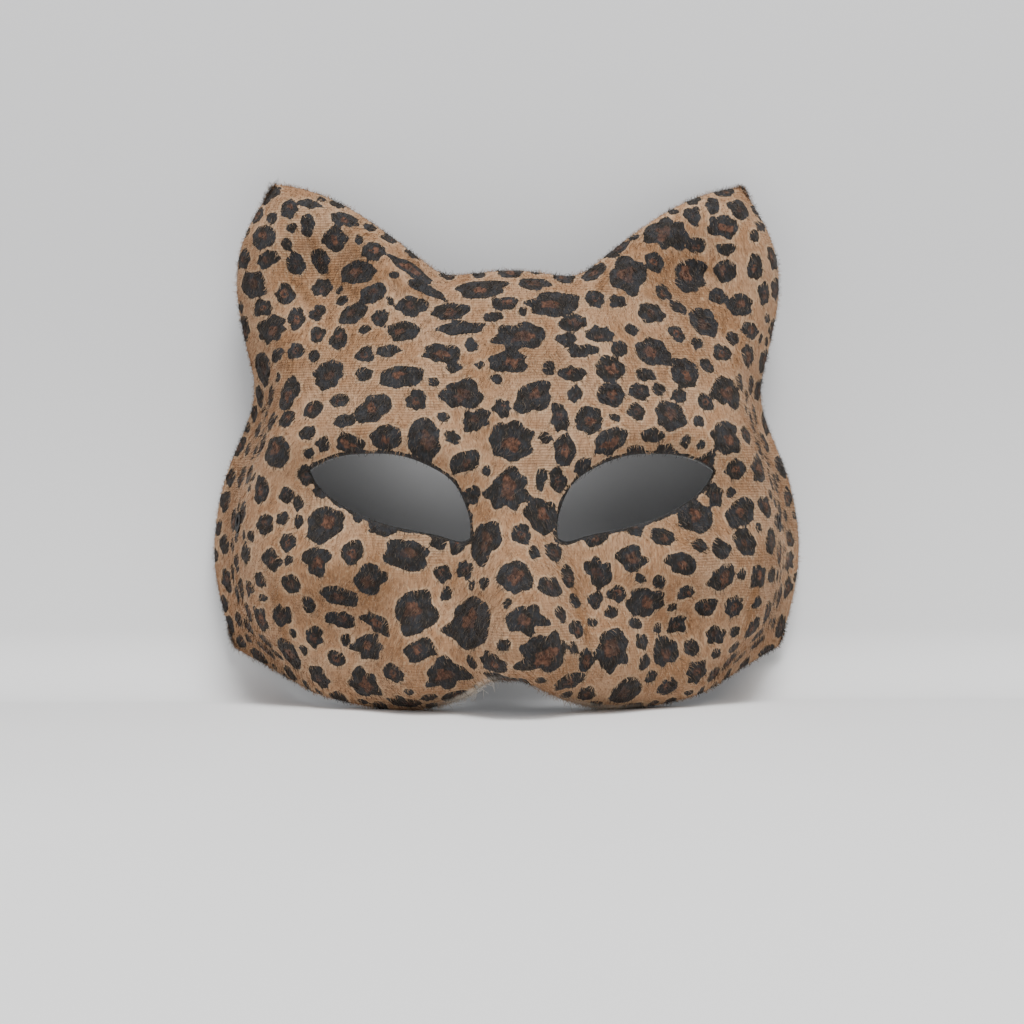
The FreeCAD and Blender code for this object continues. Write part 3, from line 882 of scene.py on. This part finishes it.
class Nodes:
    """Short names for building one material's nodes."""

    def __init__(self, name):
        self.material = bpy.data.materials.new(name)
        self.material.use_nodes = True
        self.tree = self.material.node_tree
        self.tree.nodes.clear()
        self.out = self.add("ShaderNodeOutputMaterial")

    def add(self, kind, inputs=None, **settings):
        node = self.tree.nodes.new(kind)
        for key, value in settings.items():
            setattr(node, key, value)
        for key, value in (inputs or {}).items():
            self.set(node.inputs[key], value)
        return node

    def set(self, socket, value):
        if isinstance(value, bpy.types.NodeSocket):
            self.tree.links.new(value, socket)
        else:
            socket.default_value = value

    def maths(self, operation, *values):
        node = self.add("ShaderNodeMath", operation=operation)
        for socket, value in zip(node.inputs, values):
            self.set(socket, value)
        return node.outputs[0]

    def attribute(self, name):
        return self.add("ShaderNodeAttribute", attribute_name=name).outputs["Fac"]

    def place(self):
        return self.add("ShaderNodeTexCoord").outputs["Object"]

    def times(self, first, second):
        return self.maths("MULTIPLY", first, second)

    def plus(self, first, second):
        return self.maths("ADD", first, second)

    def vector(self, operation, first, second):
        node = self.add("ShaderNodeVectorMath", {0: first, 1: second}, operation=operation)
        return node.outputs[0]

    def bump(self, height, strength, distance):
        return self.add("ShaderNodeBump", {"Height": height, "Strength": strength,
                                           "Distance": distance}).outputs[0]

    def scaled(self, source, scale):
        return self.add("ShaderNodeMapping", {"Vector": source, "Scale": scale}).outputs[0]

    def noise(self, source, scale, detail=2.0, rough=0.5):
        node = self.add("ShaderNodeTexNoise", {"Vector": source, "Scale": scale, "Detail": detail,
                                               "Roughness": rough})
        return node.outputs["Fac"]

    def ramp(self, value, low, high, to_low=0.0, to_high=1.0):
        node = self.add("ShaderNodeMapRange", {"Value": value, "From Min": low, "From Max": high,
                                               "To Min": to_low, "To Max": to_high},
                        interpolation_type="SMOOTHSTEP")
        return node.outputs[0]

    def mix(self, share, first, second):
        node = self.add("ShaderNodeMix", data_type="RGBA")
        self.set(node.inputs["Factor"], share)
        self.set(node.inputs["A"], first)
        self.set(node.inputs["B"], second)
        return next(o for o in node.outputs if o.type == "RGBA")

    def finish(self, shader):
        self.tree.links.new(shader.outputs[0], self.out.inputs["Surface"])
        return self.material


def leopard(name, for_fibres=False):
    """Printed short pile: ragged dark spots with rust hearts on tan, fine ribs, streaks of nap."""
    n = Nodes(name)
    place = n.place()
    spot, heart, bare = n.attribute("spot"), n.attribute("heart"), n.attribute("bare")
    # brushed-up pile, with painted shade in the ear cups and beside the folds
    rough = n.attribute("brushed_up_and_shade")

    drift = n.add("ShaderNodeTexNoise", {"Vector": place, "Scale": 42.0, "Detail": 1.0})
    swirl = n.vector("SUBTRACT", drift.outputs["Color"], (0.5, 0.5, 0.5))
    combed = n.vector("ADD", place, n.vector("MULTIPLY", swirl, (0.016, 0.016, 0.004)))
    nap = n.noise(n.scaled(combed, (1500, 1500, 380)), 1.0, 2.0)
    ragged = n.noise(n.scaled(combed, (640, 640, 330)), 1.0, 3.0, 0.6)
    edge = n.maths("MULTIPLY_ADD", ragged, 1.3, -0.65)
    edge = n.plus(edge, n.maths("MULTIPLY_ADD", nap, 0.6, -0.3))
    if for_fibres:
        tint, tip = n.attribute("tint"), n.attribute("tip")
        edge = n.maths("MULTIPLY_ADD", tint, 0.6, -0.3)
    spot_edge = n.plus(spot, edge)
    dark_share = n.ramp(spot_edge, 0.3, 0.0)
    heart_edge = n.plus(heart, n.times(edge, 1.3))
    rust_share = n.times(n.ramp(heart_edge, 0.35, -0.45), n.ramp(spot, -0.7, -1.3))
    halo = n.times(n.ramp(spot_edge, 1.2, 0.3), 0.5)

    broad = n.noise(place, 55.0, 2.0)
    patch = n.noise(place, 190.0, 2.0)
    tan = n.mix(n.ramp(broad, 0.3, 0.7), colour(163, 124, 91), colour(177, 141, 110))
    tan = n.mix(n.times(n.ramp(patch, 0.42, 0.72), 0.45), tan, colour(145, 103, 70))
    tan = n.mix(halo, tan, colour(200, 171, 138))
    # darker brown where the pile is brushed up, and painted shade in the ear cups and beside the
    # folds
    tan = n.mix(n.times(rough, 0.72), tan, colour(128, 90, 57))
    faded = n.ramp(n.noise(place, 380.0, 3.0), 0.35, 0.68)
    ink = n.mix(faded, colour(30, 30, 29), colour(43, 46, 50))
    mottled = n.ramp(n.noise(place, 900.0, 2.0), 0.35, 0.65)
    rust = n.mix(mottled, colour(70, 47, 38), colour(112, 77, 60))
    worn = n.ramp(nap, 0.55, 0.8)
    ink = n.mix(n.times(worn, 0.18), ink, colour(104, 88, 76))
    print_colour = n.mix(dark_share, tan, ink)
    rust_deep = n.ramp(n.noise(place, 75.0, 1.0), 0.36, 0.6, 0.35, 0.92)
    print_colour = n.mix(n.times(rust_share, rust_deep), print_colour, rust)

    wobble = n.noise(n.scaled(place, (90, 90, 160)), 1.0, 2.0)
    height = n.add("ShaderNodeSeparateXYZ", {"Vector": place}).outputs["Z"]
    phase = n.plus(n.times(height, 2 * math.pi / (RIB_PITCH * MM)), n.times(wobble, 9.0))
    rib = n.maths("MULTIPLY_ADD", n.maths("SINE", phase), 0.5, 0.5)
    rib_shows = n.ramp(n.noise(place, 34.0, 1.0), 0.4, 0.62)
    rib_shows = n.times(rib_shows, n.maths("MULTIPLY_ADD", dark_share, -0.85, 1.0))
    streak = n.noise(n.scaled(combed, (2100, 2100, 430)), 1.0, 2.0, 0.6)
    # painted shade: darker in the rib troughs and along the dark nap streaks
    shade = n.times(n.maths("SUBTRACT", 1.0, rib), n.times(rib_shows, 0.15))
    shade = n.plus(shade, n.times(n.ramp(streak, 0.58, 0.3), 0.42))
    print_colour = n.mix(shade, print_colour, n.mix(0.7, print_colour, colour(52, 34, 22)))
    # pale nap tips with a painted highlight along the light nap streaks, weaker on the spots
    pale = n.times(n.ramp(streak, 0.55, 0.8), n.maths("MULTIPLY_ADD", dark_share, -0.4, 0.5))
    print_colour = n.mix(pale, print_colour, colour(206, 176, 140))
    if for_fibres:
        deep = n.times(n.ramp(tint, 0.45, 0.0), 0.5)
        print_colour = n.mix(deep, print_colour, n.mix(0.7, print_colour, colour(62, 40, 26)))
        light = n.times(n.ramp(tint, 0.5, 1.0), n.maths("MULTIPLY_ADD", tip, 0.3, 0.25))
        light = n.times(light, n.maths("MULTIPLY_ADD", dark_share, -0.65, 1.0))
        print_colour = n.mix(light, print_colour, colour(218, 190, 160))
    backing = n.mix(n.noise(place, 900.0, 1.0), colour(196, 182, 164), colour(232, 224, 212))
    print_colour = n.mix(n.times(bare, 0.8), print_colour, backing)

    relief = n.plus(n.times(rib, n.maths("MULTIPLY_ADD", rib_shows, 0.55, 0.06)),
                     n.times(streak, 0.9))
    relief = n.plus(relief, n.times(nap, 0.5))
    bump = n.bump(relief, 0.7, 0.0003)
    shader = n.add("ShaderNodeBsdfPrincipled", {"Base Color": print_colour, "Normal": bump})
    shader.inputs["Roughness"].default_value = 0.86
    shader.inputs["Specular IOR Level"].default_value = 0.22
    shader.inputs["Sheen Weight"].default_value = 0.16
    shader.inputs["Sheen Roughness"].default_value = 0.45
    shader.inputs["Sheen Tint"].default_value = colour(236, 214, 196)
    return n.finish(shader)


def shell_plastic():
    """Black formed sheet, satin, with the mould's fine grain and light scratches."""
    n = Nodes("shell_plastic")
    place = n.place()
    grain = n.noise(place, 2600.0, 3.0, 0.6)
    cloud = n.noise(place, 60.0, 3.0)
    scratch = n.ramp(n.noise(n.scaled(place, (260, 260, 5200)), 1.0, 2.0, 0.7), 0.66, 0.74)
    base = n.mix(n.ramp(cloud, 0.35, 0.7), colour(24, 24, 26), colour(38, 37, 38))
    base = n.mix(n.times(scratch, 0.25), base, colour(84, 84, 86))
    rough = n.plus(n.ramp(cloud, 0.3, 0.7, 0.34, 0.5), n.times(scratch, 0.12))
    relief = n.plus(n.times(grain, 0.6), n.times(cloud, 0.9))
    relief = n.maths("SUBTRACT", relief, n.times(scratch, 0.4))
    bump = n.bump(relief, 0.35, 0.0002)
    return n.finish(n.add("ShaderNodeBsdfPrincipled", {"Base Color": base, "Roughness": rough,
                                                       "Normal": bump}))


def eyelet_metal():
    """Black lacquered metal, worn to bare metal in specks."""
    n = Nodes("eyelet_metal")
    place = n.place()
    specks = n.noise(place, 1500.0, 4.0, 0.7)
    worn = n.ramp(specks, 0.6, 0.68)
    base = n.mix(worn, colour(26, 26, 28), colour(150, 146, 140))
    rough = n.ramp(specks, 0.3, 0.7, 0.3, 0.5)
    metal = n.ramp(worn, 0.0, 1.0)
    bump = n.bump(specks, 0.2, 0.00006)
    return n.finish(n.add("ShaderNodeBsdfPrincipled", {"Base Color": base, "Roughness": rough,
                                                       "Metallic": metal, "Normal": bump}))


def thread():
    """Pale twisted backing yarn."""
    n = Nodes("backing_thread")
    place = n.place()
    ply = n.noise(n.scaled(place, (3000, 3000, 6000)), 1.0, 2.0)
    base = n.mix(n.ramp(ply, 0.35, 0.65), colour(176, 164, 150), colour(226, 220, 210))
    bump = n.bump(ply, 0.4, 0.00005)
    return n.finish(n.add("ShaderNodeBsdfPrincipled", {"Base Color": base, "Roughness": 0.9,
                                                       "Normal": bump}))


def backdrop(floor_z):
    """Plain pale cloth ground with painted shade, a little darker up the wall, unseen from behind.
    """
    n = Nodes("backdrop")
    place = n.place()
    cloud = n.ramp(n.noise(place, 5.0, 2.0), 0.3, 0.7)
    base = n.mix(cloud, colour(240, 240, 240), colour(245, 245, 245))
    height = n.add("ShaderNodeSeparateXYZ", {"Vector": place}).outputs["Z"]
    # painted shade: the wall's colour darkens with height
    shade = n.ramp(height, floor_z * MM, (floor_z + SHADE_HEIGHT) * MM)
    base = n.mix(shade, base, colour(216, 216, 217))
    weave = n.noise(place, 900.0, 2.0)
    bump = n.bump(weave, 0.06, 0.0002)
    cloth = n.add("ShaderNodeBsdfDiffuse", {"Color": base, "Normal": bump})
    clear = n.add("ShaderNodeBsdfTransparent")
    behind = n.add("ShaderNodeNewGeometry").outputs["Backfacing"]
    both = n.add("ShaderNodeMixShader", {"Fac": behind})
    n.tree.links.new(cloth.outputs[0], both.inputs[1])
    n.tree.links.new(clear.outputs[0], both.inputs[2])
    return n.finish(both)


# ---------------------------------------------------------------- stage, light and camera

def build_stage():
    """A cove that rises behind the mask, and a wide plain floor just under it."""
    floor_z = CAD_BOX[0][2] / MM - FLOOR_GAP
    centre_z = floor_z + COVE_RADIUS
    profile = [(COVE_START + COVE_RADIUS * math.sin(a), centre_z - COVE_RADIUS * math.cos(a))
               for a in np.linspace(0, math.pi / 2, 25)]
    profile += [(COVE_START + COVE_RADIUS, z) for z in (60.0, 200.0, 500.0, 1200.0)]
    verts = [(x, y, z) for y, z in profile for x in (-STAGE_REACH, STAGE_REACH)]
    faces = [(2 * i, 2 * i + 1, 2 * i + 3, 2 * i + 2) for i in range(len(profile) - 1)]
    wall = new_object("backdrop_wall", verts, faces)
    corners = [(x * STAGE_REACH, y * STAGE_REACH, floor_z - 0.05)
               for x, y in ((-1, -1), (1, -1), (1, 1), (-1, 1))]
    floor = new_object("backdrop_floor", corners, [(0, 1, 2, 3)], smooth=False)
    material = backdrop(floor_z)
    for obj in (wall, floor):
        obj.data.materials.append(material)
    wall.visible_shadow = wall.visible_diffuse = wall.visible_glossy = False


def area_light(name, place, aim, size, power, tone):
    data = bpy.data.lights.new(name, "AREA")
    data.shape, data.size, data.energy, data.color = "SQUARE", size, power, tone
    light = bpy.data.objects.new(name, data)
    bpy.context.scene.collection.objects.link(light)
    light.location = place
    light.rotation_euler = (Vector(aim) - Vector(place)).to_track_quat("-Z", "Y").to_euler()


def build_light():
    world = bpy.data.worlds.new("studio")
    world.use_nodes = True
    world.node_tree.nodes["Background"].inputs["Color"].default_value = WORLD_TONE
    world.node_tree.nodes["Background"].inputs["Strength"].default_value = WORLD_STRENGTH
    bpy.context.scene.world = world
    for light in LIGHTS:
        area_light(*light)


def build_camera():
    data = bpy.data.cameras.new("camera")
    data.lens, data.sensor_width, data.clip_start = CAMERA_LENS, 36.0, 0.01
    camera = bpy.data.objects.new("camera", data)
    bpy.context.scene.collection.objects.link(camera)
    turn = math.radians(CAMERA_AZIMUTH)
    aim = Vector(CAMERA_AIM) * MM
    camera.location = aim + CAMERA_DISTANCE * MM * Vector((math.sin(turn), -math.cos(turn), 0))
    camera.rotation_euler = (aim - camera.location).to_track_quat("-Z", "Y").to_euler()
    bpy.context.scene.camera = camera


# ---------------------------------------------------------------- putting it together

build_camera()
build_stage()
build_light()

cover, net = build_cover()
cover.data.materials.append(leopard("leopard_print"))
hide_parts("leopard_cover")
piles = build_pile(net)
fringe = build_fringe(net)
threads = build_threads(net)
fibre_material = leopard("leopard_pile", for_fibres=True)
for piece in piles + [fringe]:
    piece.data.materials.append(fibre_material)
threads.data.materials.append(thread())
for piece in piles + [cover, fringe, threads]:
    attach(piece, "root")

plastic, metal = shell_plastic(), eyelet_metal()
for name, material in (("face_shell", plastic), ("left_eyelet", metal), ("right_eyelet", metal),
                       ("left_eyelet_washer", metal), ("right_eyelet_washer", metal)):
    NODES[name].data.materials.clear()
    NODES[name].data.materials.append(material)
